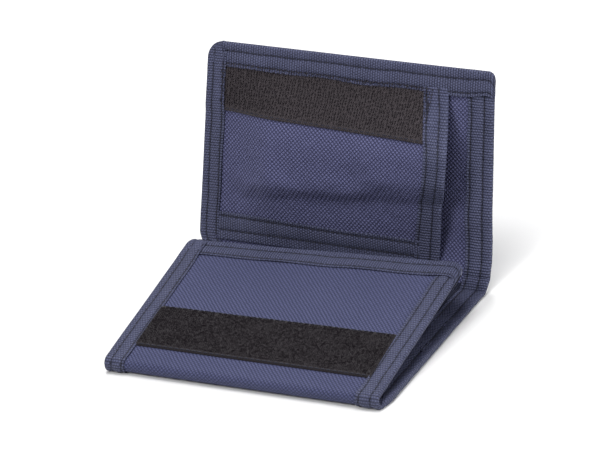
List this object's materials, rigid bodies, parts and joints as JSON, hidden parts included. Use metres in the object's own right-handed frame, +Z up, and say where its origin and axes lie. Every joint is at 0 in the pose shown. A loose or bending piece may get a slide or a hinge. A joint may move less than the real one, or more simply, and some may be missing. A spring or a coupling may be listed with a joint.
{
  "type": "trifold wallet",
  "caption": "Fabric wallet of three bound panels folded in a Z: a middle panel lies flat, the cover stands up behind it and the flap is folded over it, with a hook-and-loop closure.",
  "frame": {"origin": "centre of the middle panel's underside, on the surface that the wallet rests on", "axes": "+X to the right along the folds, +Y from the front fold towards the rear fold and the cover, +Z up out of the resting surface"},
  "size_m": [0.131, 0.1273, 0.0826],
  "materials": {
    "outer_fabric": "navy coated polyester with a coarse diagonal weave, slight sheen",
    "binding_tape": "ribbed navy grosgrain tape, matt with a faint sheen on the ribs",
    "lining": "thin dark navy woven lining, matt",
    "hook_tape": "black moulded hooks on a woven tape",
    "loop_tape": "black napped loop pile",
    "thread": "dark navy sewing thread",
    "clear_vinyl": "clear flexible film, glossy"
  },
  "bodies": {
    "middle_panel": {"middle_shell": "outer_fabric", "middle_lining": "lining", "card_pocket_rear": "outer_fabric", "card_pocket_rear_hem": "binding_tape", "card_pocket_front": "outer_fabric", "card_pocket_front_hem": "binding_tape", "middle_left_binding": "binding_tape", "middle_right_binding": "binding_tape", "middle_stitching": "thread"},
    "rear_spine": {"rear_spine_shell": "outer_fabric", "rear_spine_lining": "lining", "rear_spine_left_binding": "binding_tape", "rear_spine_right_binding": "binding_tape"},
    "cover": {"cover_shell": "outer_fabric", "cover_lining": "outer_fabric", "cover_pocket": "outer_fabric", "cover_pocket_side_binding": "binding_tape", "cover_pocket_bottom_binding": "binding_tape", "cover_top_binding": "binding_tape", "cover_left_binding": "binding_tape", "cover_right_binding": "binding_tape", "hook_tape": "hook_tape", "cover_stitching": "thread"},
    "front_spine": {"front_spine_shell": "outer_fabric", "front_spine_lining": "lining", "front_spine_left_binding": "binding_tape", "front_spine_right_binding": "binding_tape"},
    "flap": {"flap_shell": "outer_fabric", "flap_lining": "lining", "window_frame": "outer_fabric", "id_window": "clear_vinyl", "flap_left_binding": "binding_tape", "flap_right_binding": "binding_tape", "flap_rear_binding": "binding_tape", "loop_tape": "loop_tape", "flap_stitching": "thread"}
  },
  "joints": [
    {"name": "cover_fold", "type": "hinge", "parent": "rear_spine", "child": "cover", "pos_m": [0, 0.05027, 0.00409], "axis": [1, 0, 0], "range_deg": [-34, 55]},
    {"name": "rear_spine_fold", "type": "hinge", "parent": "middle_panel", "child": "rear_spine", "pos_m": [0, 0.0448, 0.0004], "axis": [1, 0, 0], "range_deg": [-36, 58]},
    {"name": "front_spine_fold", "type": "hinge", "parent": "middle_panel", "child": "front_spine", "pos_m": [0, -0.0448, 0.0004], "axis": [1, 0, 0], "range_deg": [-9.5, 6]},
    {"name": "flap_fold", "type": "hinge", "parent": "front_spine", "child": "flap", "pos_m": [0, -0.0448, 0.0048], "axis": [1, 0, 0], "range_deg": [0, 165]}
  ],
  "couplings": [
    {"joint": "rear_spine_fold", "follows": "cover_fold", "ratio": 1},
    {"joint": "front_spine_fold", "follows": "cover_fold", "ratio": -0.169}
  ]
}
